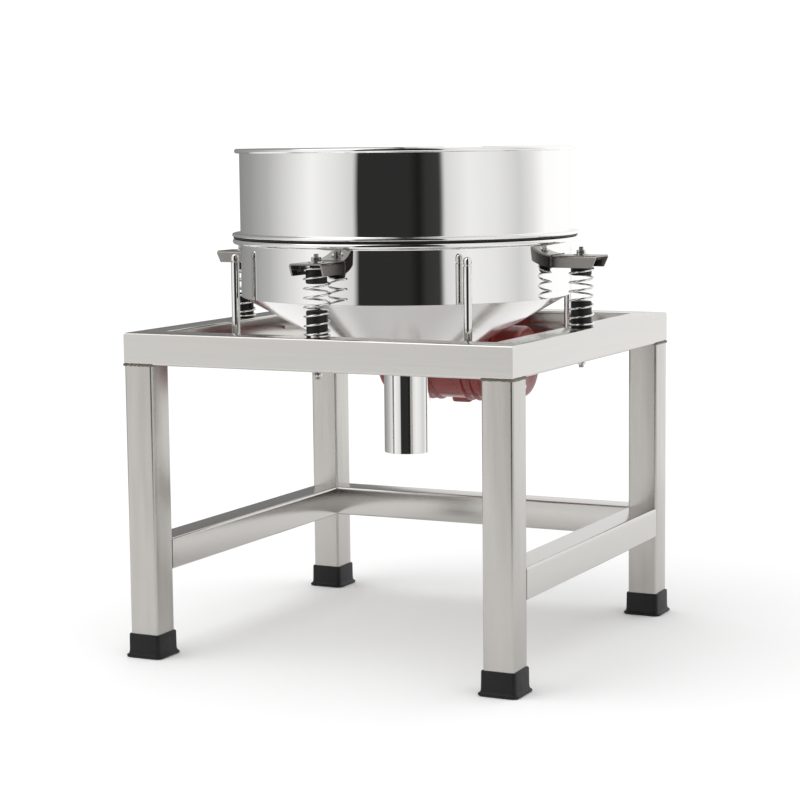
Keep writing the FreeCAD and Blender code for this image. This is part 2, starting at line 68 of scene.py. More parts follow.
# %% A helper that writes a material
def finish(name, colour, metallic, roughness, spread=0.06, grain=(60, 60, 60), bump=0.0, tint=0.0,
           uv=False, coat=0.0):
    """Principled material whose roughness, bump (in metres) and tint follow one noise."""
    material = bpy.data.materials.new(name)
    material.use_nodes = True
    nodes, links = material.node_tree.nodes, material.node_tree.links
    shader = nodes["Principled BSDF"]
    shader.inputs["Base Color"].default_value = (*colour, 1)
    shader.inputs["Metallic"].default_value = metallic
    shader.inputs["Coat Weight"].default_value = coat
    place = nodes.new("ShaderNodeTexCoord")
    scale = nodes.new("ShaderNodeMapping")
    scale.inputs["Scale"].default_value = grain
    noise = nodes.new("ShaderNodeTexNoise")
    noise.inputs["Scale"].default_value = 1.0
    noise.inputs["Detail"].default_value = 4.0
    links.new(place.outputs["UV" if uv else "Object"], scale.inputs["Vector"])
    links.new(scale.outputs["Vector"], noise.inputs["Vector"])
    rough = nodes.new("ShaderNodeMapRange")
    rough.inputs["To Min"].default_value = max(0.02, roughness - spread)
    rough.inputs["To Max"].default_value = roughness + spread
    links.new(noise.outputs["Fac"], rough.inputs["Value"])
    links.new(rough.outputs["Result"], shader.inputs["Roughness"])
    if bump:
        relief = nodes.new("ShaderNodeBump")
        relief.inputs["Strength"].default_value = 1.0
        relief.inputs["Distance"].default_value = bump
        links.new(noise.outputs["Fac"], relief.inputs["Height"])
        links.new(relief.outputs["Normal"], shader.inputs["Normal"])
    if tint:
        shade = nodes.new("ShaderNodeMix")
        shade.data_type = "RGBA"
        shade.inputs["A"].default_value = (*[c * (1 - tint) for c in colour], 1)
        shade.inputs["B"].default_value = (*[min(1, c * (1 + tint)) for c in colour], 1)
        links.new(noise.outputs["Fac"], shade.inputs["Factor"])
        links.new(shade.outputs["Result"], shader.inputs["Base Color"])
    print("finish", name)
    return material


# %% The steels: colour, metallic, roughness, spread, grain, bump, tint
satin = finish("satin_stainless", (0.56, 0.545, 0.52), 1.0, 0.19, 0.06, (5, 260, 260), 0.000006, 0.04,
               uv=True)
# Leg steel is a darker copy of the top tubes' satin. Its darker colour is painted shade; its higher
# roughness, coarser marks and less even tone are the legs' own grinding.
leg_satin_painted_shade = finish("brushed_leg_stainless", (0.475, 0.46, 0.435), 1.0, 0.24, 0.07, (7, 90, 90), 0.000008,
                   0.16, uv=True)
mirror = finish("polished_stainless", (0.79, 0.785, 0.77), 1.0, 0.035, 0.014, (14, 14, 3), 0.00001)
cone_steel = finish("spun_stainless", (0.76, 0.75, 0.735), 1.0, 0.13, 0.05, (26, 26, 90), 0.00004)
# Bracket steel: its dark colour is a painted reflection. The brackets are the same pale stainless as the
# rest.
bracket_steel = finish("bracket_steel", (0.25, 0.235, 0.22), 1.0, 0.24, 0.08, (70, 70, 70), 0.00003, 0.15)
wire_steel = finish("spring_steel", (0.74, 0.73, 0.71), 1.0, 0.16, 0.06, (200, 200, 200))
zinc = finish("zinc_plate", (0.66, 0.65, 0.62), 1.0, 0.24, 0.08, (260, 260, 260), 0.00001, 0.06)
weave_steel = finish("woven_wire", (0.58, 0.575, 0.56), 1.0, 0.30, 0.08, (300, 300, 300))
weld_steel = finish("weld_bead", (0.2, 0.178, 0.155), 1.0, 0.42, 0.12, (420, 420, 420), 0.00008, 0.35)
turned_steel = finish("machined_steel", (0.5, 0.5, 0.49), 1.0, 0.3, 0.08, (90, 90, 90), 0.00001)

# %% Rubber, paint and plastic
rubber = finish("black_rubber", (0.006, 0.006, 0.0065), 0.0, 0.5, 0.10, (160, 160, 160), 0.00010, 0.25)
red_paint = finish("red_enamel", (0.22, 0.026, 0.022), 0.0, 0.30, 0.08, (120, 120, 120), 0.00012, 0.16,
                   coat=0.25)
plastic = finish("black_plastic", (0.02, 0.02, 0.021), 0.0, 0.40, 0.06, (200, 200, 200), 0.00004, 0.15)

rubber.node_tree.nodes["Principled BSDF"].inputs["Specular IOR Level"].default_value = 0.3

# %% [markdown]
# ## Three ways to make a piece
# Sheet rings, cone, spout, posts and motor shells are round, so they are a profile turned
# round an axis. Tubes and channels are one cross-section carried along a line. Whatever
# repeats, such as springs, nuts, weld beads and mesh wires, is grown with Geometry Nodes.

# %% Put a mesh in the scene
def piece(name, vertices, faces, material, body, *nodes, sharp=35, place=None):
    """Mesh object that rides on a body and stands for the CAD nodes named after it."""
    mesh = bpy.data.meshes.new(name)
    mesh.from_pydata([tuple(v) for v in vertices], [], faces)
    tidy = bmesh.new()
    tidy.from_mesh(mesh)
    bmesh.ops.remove_doubles(tidy, verts=tidy.verts, dist=1e-6)
    bmesh.ops.recalc_face_normals(tidy, faces=tidy.faces)
    if place:
        tidy.transform(place)
    tidy.to_mesh(mesh)
    tidy.free()
    mesh.shade_smooth()
    mesh.set_sharp_from_angle(angle=math.radians(sharp))
    return adopt(name, mesh, material, body, *nodes)


def adopt(name, mesh, material, body, *nodes):
    """Object for a finished mesh: its finish, its body, and the CAD nodes that it replaces."""
    thing = bpy.data.objects.new(name, mesh)
    bpy.context.scene.collection.objects.link(thing)
    mesh.materials.clear()
    mesh.materials.append(material)
    if body:
        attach(thing, body)
    if nodes:
        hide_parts(*nodes)
    print(name, "on", body or "two bodies", len(mesh.polygons), "faces")
    return thing


# %% Turn a profile
def turned(name, profile, material, body, *nodes, centre=(0, 0), segments=192, sharp=35, place=None):
    """Closed profile of (radius, height) points turned round an upright axis."""
    count = len(profile)
    vertices, faces = [], []
    for i in range(segments):
        angle = 2 * math.pi * i / segments
        vertices += [(centre[0] + r * math.cos(angle), centre[1] + r * math.sin(angle), z)
                     for r, z in profile]
    for i in range(segments):
        here, there = i * count, (i + 1) % segments * count
        for j in range(count):
            k = (j + 1) % count
            if profile[j][0] + profile[k][0] > 0:
                faces.append((here + j, there + j, there + k, here + k))
    return piece(name, vertices, faces, material, body, *nodes, sharp=sharp, place=place)


def bow(centre, radius, start, end, steps=8):
    """Points on an arc of a profile, from one angle to another in degrees."""
    return [(centre[0] + radius * math.cos(math.radians(start + (end - start) * i / steps)),
             centre[1] + radius * math.sin(math.radians(start + (end - start) * i / steps)))
            for i in range(steps + 1)]


# %% Write a Geometry Nodes tree
class Tree:
    """A Geometry Nodes tree with named inputs. Each call of node() adds one node and links its inputs."""

    def __init__(self, name, **sizes):
        self.tree = bpy.data.node_groups.new(name, "GeometryNodeTree")
        self.sockets = {}
        for label, value in {"Geometry": "Geometry", **sizes}.items():
            kind = {int: "Int", float: "Float", str: "Geometry", bpy.types.Object: "Object"}[type(value)]
            socket = self.tree.interface.new_socket(label, in_out="INPUT", socket_type="NodeSocket" + kind)
            if kind in ("Int", "Float"):
                socket.default_value = value
            self.sockets[label] = socket.identifier
        self.tree.interface.new_socket("Geometry", in_out="OUTPUT", socket_type="NodeSocketGeometry")
        self.inputs = self.tree.nodes.new("NodeGroupInput")
        self.outputs = self.tree.nodes.new("NodeGroupOutput")

    def size(self, label):
        return self.inputs.outputs[label]

    def node(self, kind, output=0, settings=(), **inputs):
        node = self.tree.nodes.new(kind)
        for key, value in dict(settings).items():
            setattr(node, key, value)
        for key, value in inputs.items():
            socket = node.inputs[int(key[1:])] if key[0] == "_" else node.inputs[key.replace("_", " ")]
            if isinstance(value, bpy.types.NodeSocket):
                self.tree.links.new(value, socket)
            else:
                socket.default_value = value
        return node.outputs[output]

    def maths(self, operation, a, b=0.0):
        return self.node("ShaderNodeMath", settings={"operation": operation}, _0=a, _1=b)

    def finished_by(self, geometry, material):
        whole = self.node("GeometryNodeRealizeInstances", Geometry=geometry)
        dressed = self.node("GeometryNodeSetMaterial", Geometry=whole, Material=material)
        self.tree.links.new(dressed, self.outputs.inputs[0])

    def grow(self, name, material, body, *nodes, base=None, place=None, sharp=35, **sizes):
        """Run the tree, on a base mesh if it needs one, and keep the result as a plain mesh."""
        seed = bpy.data.objects.new(name + ".seed", base or bpy.data.meshes.new(name + ".seed"))
        bpy.context.scene.collection.objects.link(seed)
        growth = seed.modifiers.new("growth", "NODES")
        growth.node_group = self.tree
        for label, value in sizes.items():
            growth[self.sockets[label.replace("_", " ")]] = value
        graph = bpy.context.evaluated_depsgraph_get()
        mesh = bpy.data.meshes.new_from_object(seed.evaluated_get(graph))
        bpy.data.objects.remove(seed)
        mesh.name = name
        if place:
            mesh.transform(place)
        mesh.shade_smooth()
        mesh.set_sharp_from_angle(angle=math.radians(sharp))
        return adopt(name, mesh, material, body, *nodes)


# %% Sides and corners of the machine
SIDES = {"front": -90, "right": 0, "rear": 90, "left": 180}
CORNERS = {"front_left": (-1, -1), "front_right": (1, -1), "rear_left": (-1, 1), "rear_right": (1, 1)}


def swung(degrees):
    """Turn about the sieve's upright axis, from the right side to another."""
    return Matrix.Rotation(math.radians(degrees), 4, "Z")


low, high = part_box("top_beam_right")
beam_line = (low.x + high.x) / 2
tube = high.x - low.x
beam_top, beam_low = high.z, low.z
inner_face, half_side = low.x, high.x
print("beam line", round(beam_line, 4), "tube", round(tube, 4), "top", round(beam_top, 4))

# %% [markdown]
# ## Table of square tube
# The tube is drawn, so its four edges are round, about 3 mm, and its grinding marks run along it.
# A cross-section carried along a line gives both: the round edges are real faces that catch the
# light, and the unwrapped length lets the marks follow each tube. The top tubes meet in mitres, so
# their ends are cut at 45 degrees by shifting each end's points along the tube.

# %% A length of square tube
def tube_length(name, start, end, across, material, body, *nodes, mitre=0.0, wall=0.0015, corner=0.003):
    """Square tube from start to end. With mitre 1, both ends are cut towards the -across side."""
    along = (end - start).normalized()
    other = along.cross(across)
    length = (end - start).length
    rings = []
    for half, radius in ((tube / 2, corner), (tube / 2 - wall, corner - wall)):
        section = []
        for quarter in range(4):
            middle = Vector((1, 1)) * (half - radius)
            for i in range(6):
                angle = math.radians(i * 18)
                point = middle + Vector((math.cos(angle), math.sin(angle))) * radius
                section.append(Matrix.Rotation(math.pi / 2 * quarter, 2) @ point)
        rings.append(section)
    vertices = []
    for section in rings:
        for side in (0, 1):
            for u, v in section:
                cut = mitre * (tube / 2 - u) * (1 if side == 0 else -1)
                vertices.append(start + along * (length * side + cut) + across * u + other * v)
    count = len(rings[0])
    faces = []
    for j in range(count):
        k = (j + 1) % count
        faces += [(j, k, count + k, count + j), (2 * count + j, 3 * count + j, 3 * count + k, 2 * count + k),
                  (j, 2 * count + j, 2 * count + k, k), (count + j, count + k, 3 * count + k, 3 * count + j)]
    thing = piece(name, vertices, faces, material, body, *nodes, sharp=40)
    unwrap(thing.data, along, across)
    return thing


def unwrap(mesh, along, across):
    """UV map in metres: U along the tube, V round it."""
    layer = mesh.uv_layers.new(name="UVMap")
    other = along.cross(across)
    shift = sum(ord(c) for c in mesh.name) % 97  # shifts the marks, so that the tubes differ
    pairs_apart = 3
    for face in mesh.polygons:
        wide = abs(face.normal.dot(across)) < abs(face.normal.dot(other))
        for loop in face.loop_indices:
            point = mesh.vertices[mesh.loops[loop].vertex_index].co
            around = point.dot(across) if wide else point.dot(other) + pairs_apart
            layer.data[loop].uv = (point.dot(along) + shift, around)


# %% The four top tubes
for side, degrees in SIDES.items():
    turn = swung(degrees)
    middle = (beam_top + beam_low) / 2
    tube_length("table_top_" + side, turn @ Vector((beam_line, -half_side, middle)),
                turn @ Vector((beam_line, half_side, middle)), turn @ Vector((1, 0, 0)), satin, "frame",
                "top_beam_" + side, mitre=1.0)

# %% Legs and lower rails
for corner, (x, y) in CORNERS.items():
    low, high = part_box("leg_" + corner)
    foot, head = (Vector((x * beam_line, y * beam_line, z)) for z in (low.z, high.z))
    # The legs take the steel whose darker colour is painted shade.
    tube_length("table_leg_" + corner, foot, head, Vector((1, 0, 0)), leg_satin_painted_shade, "frame", "leg_" + corner)
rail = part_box("stretcher_right")
rail_line = (rail[0].z + rail[1].z) / 2
for side in ("left", "right", "rear"):
    turn = swung(SIDES[side])
    tube_length("table_rail_" + side, turn @ Vector((beam_line, -inner_face, rail_line)),
                turn @ Vector((beam_line, inner_face, rail_line)), turn @ Vector((1, 0, 0)), satin, "frame",
                "stretcher_" + side)

# %% [markdown]
# ## Rubber feet
# Each foot is a moulded cap: an upright sleeve with round corners, drawn in a little towards the
# top, that flares out to a thin lip on the floor. A stack of rounded squares, each with its own
# size, height and corner, follows that shape with few faces.

# %% Stack rounded squares
def stacked(name, levels, material, body, *nodes, centre=(0, 0), steps=6):
    """Closed solid through rounded squares given as (half side, corner radius, height)."""
    vertices, faces = [], []
    count = 4 * (steps + 1)
    for half, radius, z in levels:
        for quarter in range(4):
            for i in range(steps + 1):
                angle = math.radians(90 * i / steps)
                point = Vector((half - radius + radius * math.cos(angle),
                                half - radius + radius * math.sin(angle)))
                point = Matrix.Rotation(math.pi / 2 * quarter, 2) @ point
                vertices.append((centre[0] + point.x, centre[1] + point.y, z))
    for level in range(len(levels) - 1):
        for j in range(count):
            k = (j + 1) % count
            a, b = level * count, (level + 1) * count
            faces.append((a + j, a + k, b + k, b + j))
    last = (len(levels) - 1) * count
    faces += [tuple(reversed(range(count))), tuple(range(last, last + count))]
    return piece(name, vertices, faces, material, body, *nodes, sharp=30)


# %% The four feet
for corner, (x, y) in CORNERS.items():
    low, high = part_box("foot_cap_" + corner)
    lip = (high.x - low.x) / 2
    wall, socket = tube / 2 + 0.0025, tube / 2 + 0.0002
    top = high.z
    floor_lip = [(lip - 0.0012, 0.0066, 0), (lip - 0.0003, 0.0074, 0.0006), (lip, 0.0075, 0.0014),
                 (lip - 0.0003, 0.0074, 0.0024), (lip - 0.0012, 0.0066, 0.0030)]
    flare = [(lip - 0.0022, 0.0056, 0.0036), (lip - 0.0030, 0.0048, 0.0050), (wall, 0.0042, 0.0074)]
    sleeve = [(wall - 0.0002, 0.0042, top - 0.0012), (wall - 0.0007, 0.0040, top - 0.0002),
              (wall - 0.0013, 0.0036, top), (socket, 0.0030, top), (socket, 0.0030, top - 0.004)]
    stacked("foot_" + corner, floor_lip + flare + sleeve, rubber, "frame", "foot_cap_" + corner,
            centre=(x * beam_line, y * beam_line))

# %% [markdown]
# ## Guide posts
# Four polished posts stand inside the corners of the table and keep the sieve from walking off
# its springs. Each is a plain rod with a groove below a domed head, screwed through a flat brace.

# %% The four posts
for corner, (x, y) in CORNERS.items():
    low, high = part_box("guide_post_" + corner)
    across = (low.x + high.x) / 2, (low.y + high.y) / 2
    brace_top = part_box("corner_braces")[1].z
    r, groove, shank, top = 0.005, 0.0035, 0.004, high.z
    profile = [(0, low.z), (0.0034, low.z), (shank, low.z + 0.0006), (shank, brace_top), (r, brace_top),
               (r, top - 0.0109), (r - 0.0004, top - 0.0106), (groove, top - 0.0104), (groove, top - 0.0092),
               (r - 0.0004, top - 0.0090), (r, top - 0.0087)] + bow((0, top - r), r, 0, 90)
    turned("post_" + corner, profile, mirror, "frame", "guide_post_" + corner, centre=across, segments=32)

# %% [markdown]
# ## Barrels, cone and spout
# All four are spun or rolled from sheet 1.2 to 1.5 mm thick. The barrels are mirror polished, and
# their rims are rolled. A profile turned in many segments keeps the reflections straight: with
# few, each facet would show as a stripe.

# %% Feed ring
low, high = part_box("upper_barrel")
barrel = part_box("discharge_cone")[1].x
sheet = 0.0012
flange, seam_top, top = high.x, low.z, high.z
edge, back, fillet, bead = 0.0012, 0.0014, 0.0016, 0.0028
ring = [(barrel - sheet, seam_top), (flange - 0.0008, seam_top)]
ring += bow((flange - edge, seam_top + edge), edge, -70, 0, 4)
ring += bow((flange - back, seam_top + 0.0022), back, 0, 90, 5)
ring += bow((barrel + fillet, seam_top + 0.0052), fillet, 270, 180, 5)
ring += [(barrel, top - 2 * bead - 0.001)]
ring += bow((barrel + 0.0032, top - bead), bead, -150, 95, 18)
ring += [(barrel + 0.0008, top - 0.0002), (barrel - sheet + 0.0006, top - 0.0005)]
ring += [(barrel - sheet, top - 0.0012)]
turned("feed_ring_sheet", ring, mirror, "feed_ring", "upper_barrel", segments=256)

# %% Lower barrel
low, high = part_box("lower_barrel")
rim, seam, joint = high.x, high.z, low.z
roll, fillet, below_rim = 0.0035, 0.0018, seam - 0.0085
shell = [(barrel - sheet, joint), (barrel, joint), (barrel, below_rim)]
shell += bow((barrel + fillet, below_rim), fillet, 180, 90, 4)
shell += bow((rim - roll, seam - roll), roll, -80, 90, 12)
shell += [(barrel - sheet, seam)]
turned("lower_barrel_sheet", shell, mirror, "sieve", "lower_barrel", segments=256)

# %% Discharge cone and spout
low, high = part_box("discharge_cone")
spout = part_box("discharge_spout")[1].x
neck = low.z
pipe_wall, burr, gap = 0.0015, 0.0003, 0.0001
hopper = [(spout - pipe_wall, neck), (spout, neck), (barrel - gap, joint - gap), (barrel - sheet, joint)]
turned("cone_sheet", hopper, cone_steel, "sieve", "discharge_cone", segments=256, sharp=20)
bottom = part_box("discharge_spout")[0].z
pipe = [(spout - pipe_wall, bottom + burr), (spout - pipe_wall + burr, bottom), (spout - burr, bottom),
        (spout, bottom + burr), (spout, neck), (spout - pipe_wall, neck)]
turned("spout_pipe", pipe, mirror, "sieve", "discharge_spout", segments=96)

# %% [markdown]
# ## Springs
# A compression spring is round wire on a helix, with one turn at each end closed up flat so that
# it stands square. The tree walks points along the wire: their angle grows evenly, and their
# height grows slowly in the first and last turn and quickly between. The spring joins the table
# to the sieve, and it is attached to neither.

# %% A spring tree
spring = Tree("coil_spring", Height=0.083, Radius=0.014, Wire=0.00125, Turns=9.0, Closed_rise=0.0026,
              Steps=400)
share = spring.maths("DIVIDE", spring.node("GeometryNodeInputIndex"), spring.size("Steps"))
turns = spring.maths("MULTIPLY", share, spring.size("Turns"))
angle = spring.maths("MULTIPLY", turns, math.tau)
active = spring.maths("SUBTRACT", spring.size("Turns"), 2.0)
slow_start = spring.maths("MINIMUM", turns, 1.0)
slow_end = spring.maths("MAXIMUM", spring.maths("SUBTRACT", turns, spring.maths("ADD", active, 1.0)), 0.0)
middle = spring.maths("SUBTRACT", turns, spring.maths("ADD", slow_start, slow_end))
closed = spring.maths("MULTIPLY", spring.size("Closed_rise"), spring.maths("ADD", slow_start, slow_end))
both_closed = spring.maths("MULTIPLY", spring.size("Closed_rise"), 2.0)
free = spring.maths("SUBTRACT", spring.size("Height"), both_closed)
open_rise = spring.maths("MULTIPLY", spring.maths("DIVIDE", free, active), middle)
out = spring.maths("MULTIPLY", spring.size("Radius"), spring.maths("COSINE", angle))
aside = spring.maths("MULTIPLY", spring.size("Radius"), spring.maths("SINE", angle))
spot = spring.node("ShaderNodeCombineXYZ", X=out, Y=aside, Z=spring.maths("ADD", closed, open_rise))
line = spring.node("GeometryNodeMeshLine", Count=spring.maths("ADD", spring.size("Steps"), 1.0))
helix = spring.node("GeometryNodeSetPosition", Geometry=line, Position=spot)
path = spring.node("GeometryNodeMeshToCurve", Mesh=helix)
section = spring.node("GeometryNodeCurvePrimitiveCircle", Resolution=12, Radius=spring.size("Wire"))
wire = spring.node("GeometryNodeCurveToMesh", Curve=path, Profile_Curve=section, Fill_Caps=True)
spring.finished_by(wire, wire_steel)
print("spring tree", len(spring.tree.nodes), "nodes")

# %% The four springs
low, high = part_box("spring_right")
wire_radius = 0.00125
for side, degrees in SIDES.items():
    stand = swung(degrees) @ Matrix.Translation((beam_line, 0, low.z + wire_radius))
    coil = spring.grow("coil_" + side, wire_steel, None, "spring_" + side, place=stand,
                       Height=high.z - low.z - 2 * wire_radius, Radius=(high.x - low.x) / 2 - wire_radius,
                       Wire=wire_radius)
    foot = swung(degrees) @ Vector((beam_line, 0, low.z))
    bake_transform(coil)

# %% [markdown]
# ## Buffers and brackets
# A rubber plug in each end of the spring keeps it in place. The upper plug hangs in a folded
# channel that is welded to the barrel. The channel is a bent strip: its outline is carried from
# the barrel to its outer end, and its inner end is hollowed to the barrel's curve.

# %% Rubber plugs
low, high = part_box("lower_buffer_right")
plug = (high.x - low.x) / 2
hang_low, hang_high = (corner.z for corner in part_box("upper_buffers"))


def plug_profile(seat, nose, rounding=0.0018, hollow=0.0062, hollow_depth=0.004):
    """Plug from its seat to its rounded nose, which has a round hollow for the bolt's head."""
    inward = math.copysign(1, seat - nose)
    shoulder, floor_of_hollow = nose + inward * rounding, nose + inward * hollow_depth
    profile = [(0, seat), (plug, seat), (plug, shoulder)]
    profile += bow((plug - rounding, shoulder), rounding, 0, -90 * inward, 5)
    return profile + [(hollow, nose), (hollow, floor_of_hollow), (0, floor_of_hollow)]


for side, degrees in SIDES.items():
    spot = (swung(degrees) @ Vector((beam_line, 0, 0))).xy
    turned("plug_lower_" + side, plug_profile(low.z, high.z), rubber, "frame", "lower_buffer_" + side,
           centre=spot, segments=48)
    hung = turned("plug_upper_" + side, plug_profile(hang_high, hang_low), rubber, "sieve", centre=spot,
                  segments=48)
    if side == "front":
        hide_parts("upper_buffers")

# %% Folded brackets
def bracket_outline(half, depth, sheet, fold):
    """Points (across, down) round the section of an open channel, outer skin first."""
    inside = fold - sheet
    outer = [(half, -depth), *bow((half - fold, -fold), fold, 0, 90, 6),
             *bow((fold - half, -fold), fold, 90, 180, 6), (-half, -depth)]
    inner = [(sheet - half, -depth), *bow((fold - half, -fold), inside, 180, 90, 6),
             *bow((half - fold, -fold), inside, 90, 0, 6), (half - sheet, -depth)]
    return outer + inner


def bracket_end(reach, depth, down, corner=0.005):
    """How far the bracket reaches at one height: its lower outer corners are rounded off."""
    into_corner = min(corner, max(0.0, corner - depth - down))
    return reach - corner + math.sqrt(corner ** 2 - into_corner ** 2)


# %% The four brackets
low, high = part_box("spring_bracket_right")
depth = high.z - low.z
outline = bracket_outline((high.y - low.y) / 2, depth, sheet=0.002, fold=0.0034)
stations = [0, 0.25, 0.5, 0.75, 1]
count, half_count = len(outline), len(outline) // 2
for side, degrees in SIDES.items():
    vertices, faces = [], []
    for share in stations:
        for across, down in outline:
            inner = math.sqrt((barrel - 0.0006) ** 2 - across ** 2)
            reach = bracket_end(high.x, depth, down)
            vertices.append((inner + (reach - inner) * share, across, high.z + down))
    for first in range(0, (len(stations) - 1) * count, count):
        for j in range(count):
            k = (j + 1) % count
            faces.append((first + j, first + k, first + count + k, first + count + j))
    for first in (0, (len(stations) - 1) * count):
        last = first + count - 1
        faces += [(first + j, first + j + 1, last - 1 - j, last - j) for j in range(half_count - 1)]
    # The brackets take the steel whose dark colour is a painted reflection.
    piece("bracket_" + side, vertices, faces, bracket_steel, "sieve", "spring_bracket_" + side, sharp=40,
          place=swung(degrees))

# %% [markdown]
# ## Nuts, washers and bolt ends
# Every mount has the same small stack: a washer, a nut with its corners turned off, and a few
# millimetres of thread. It is drawn once for each size, and Geometry Nodes put a copy at each place.

# %% One nut stack, pointing up from its seat
def close_rings(mesh, levels):
    """Skin between rings of points, closed at both ends."""
    for a, b in zip(levels, levels[1:]):
        for i in range(len(a)):
            k = (i + 1) % len(a)
            mesh.faces.new((a[i], a[k], b[k], b[i]))
    mesh.faces.new(levels[-1])
    mesh.faces.new(list(reversed(levels[0])))


def nut_stack(flats, nut, washer, thick, bolt, tip, nut_points=36, thread_points=20):
    """Mesh of washer, chamfered nut and thread end on the seat plane z = 0."""
    mesh = bmesh.new()
    bmesh.ops.create_cone(mesh, cap_ends=True, segments=32, radius1=washer, radius2=washer, depth=thick,
                          matrix=Matrix.Translation((0, 0, thick / 2)))
    corner = flats / math.sqrt(3)
    levels = []
    for radius, share in ((flats / 2, 0), (corner, 0.09), (corner, 0.91), (flats / 2, 1)):
        ring = []
        for i in range(nut_points):
            a = math.tau * i / nut_points
            flat = flats / 2 / math.cos((a + math.pi / 6) % (math.pi / 3) - math.pi / 6)
            reach = min(radius, flat)
            ring.append(mesh.verts.new((reach * math.cos(a), reach * math.sin(a), thick + nut * share)))
        levels.append(ring)
    close_rings(mesh, levels)
    pitch, root = bolt * 0.15, bolt * 0.87
    levels = []
    for i in range(2 * int(tip / pitch) + 1):
        radius, z = bolt if i % 2 == 0 else root, thick + nut + pitch * i / 2
        angles = [math.tau * k / thread_points for k in range(thread_points)]
        levels.append([mesh.verts.new((radius * math.cos(a), radius * math.sin(a), z)) for a in angles])
    close_rings(mesh, levels)
    result = bpy.data.meshes.new("nut_stack")
    mesh.to_mesh(result)
    mesh.free()
    return bpy.data.objects.new("nut_stack", result)


# %% A tree that puts copies on points
def copies(name, template, spots, material, body, *nodes, flip=False):
    """Copies of a template object on a list of points, grown with Geometry Nodes."""
    tree = Tree(name + "_on_points", Turn=0.0, Flip=math.pi if flip else 0.0)
    shape = tree.node("GeometryNodeObjectInfo", output="Geometry", Object=template)
    aim = tree.node("ShaderNodeCombineXYZ", X=tree.size("Flip"), Y=0.0, Z=tree.size("Turn"))
    points = tree.node("GeometryNodeInstanceOnPoints", Points=tree.size("Geometry"), Instance=shape,
                       Rotation=tree.node("FunctionNodeEulerToRotation", Euler=aim))
    tree.finished_by(points, material)
    base = bpy.data.meshes.new(name)
    base.from_pydata([tuple(s) for s in spots], [], [])
    return tree.grow(name, material, body, *nodes, base=base)


# %% Nuts on the brackets, below the beams and below the corner braces
def mounts_at(z):
    """The middle of each side, at one height."""
    return [swung(degrees) @ Vector((beam_line, 0, z)) for degrees in SIDES.values()]


bracket_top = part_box("spring_bracket_right")[1].z
stack = nut_stack(flats=0.010, nut=0.005, washer=0.009, thick=0.0012, bolt=0.003, tip=0.004)
copies("bracket_nuts", stack, mounts_at(bracket_top), zinc, "sieve", "upper_nuts", "upper_bolts")
copies("beam_nuts", stack, mounts_at(beam_low), zinc, "frame", "lower_nuts", "lower_bolts", flip=True)
brace_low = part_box("corner_braces")[0].z
post_low, post_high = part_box("guide_post_front_right")
post_x = (post_low.x + post_high.x) / 2
post_stack = nut_stack(flats=0.0128, nut=0.005, washer=0.009, thick=0.0012, bolt=0.004, tip=0.004)
post_places = [Vector((x * post_x, y * post_x, brace_low)) for x, y in CORNERS.values()]
copies("post_nuts", post_stack, post_places, zinc, "frame", "guide_post_nuts", flip=True)

# %% [markdown]
# ## Screen
# The screen is a flat ring with woven wire stretched on it and a rubber strip round its edge. In a
# plain weave each wire goes over one and under the next, and its neighbour does the opposite. The
# tree draws one family of wires as zigzags between crossings. The second family is the same tree
# turned by 90 degrees and shifted by half a wave.

# %% Ring and edge strip
low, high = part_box("screen_gasket")
hoop_low, hoop_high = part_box("screen_ring")
hoop_outer, hoop_inner = hoop_high.x, hoop_high.x - 0.0196
grip, edge, flat_end = barrel - 0.004, 0.0012, high.x - 0.0009
strip = [(grip, low.z), (flat_end, low.z), *bow((high.x - edge, (low.z + high.z) / 2), edge, -75, 75, 8),
         (flat_end, high.z), (grip, high.z), (grip, hoop_high.z), (hoop_outer, hoop_high.z),
         (hoop_outer, hoop_low.z), (grip, hoop_low.z)]
turned("edge_strip", strip, rubber, "screen", "screen_gasket", segments=192)
hoop = [(hoop_inner, hoop_low.z), (hoop_outer, hoop_low.z), (hoop_outer, hoop_high.z),
        (hoop_inner, hoop_high.z)]
turned("screen_hoop", hoop, satin, "screen", "screen_ring", segments=192)

# %% A tree for one family of wires
weave = Tree("woven_wires", Radius=0.19, Pitch=0.0045, Wire=0.00045, Wave=0.00045, Shift=0.0)
cells = 86  # whole pitches, a little wider than the opening of the ring
width = weave.maths("MULTIPLY", weave.size("Pitch"), float(cells))
grid = weave.node("GeometryNodeMeshGrid", Size_X=width, Size_Y=width, Vertices_X=cells + 1,
                  Vertices_Y=cells + 1)
at = weave.node("GeometryNodeInputPosition")
split = weave.node("ShaderNodeSeparateXYZ", Vector=at).node
column = weave.maths("ROUND", weave.maths("DIVIDE", split.outputs["X"], weave.size("Pitch")))
row = weave.maths("ROUND", weave.maths("DIVIDE", split.outputs["Y"], weave.size("Pitch")))
phase = weave.maths("ADD", weave.maths("ADD", column, row), weave.size("Shift"))
over_under = weave.maths("COSINE", weave.maths("MULTIPLY", phase, math.pi))
lift = weave.node("ShaderNodeCombineXYZ", X=0.0, Y=0.0,
                  Z=weave.maths("MULTIPLY", over_under, weave.size("Wave")))
lifted = weave.node("GeometryNodeSetPosition", Geometry=grid, Offset=lift)

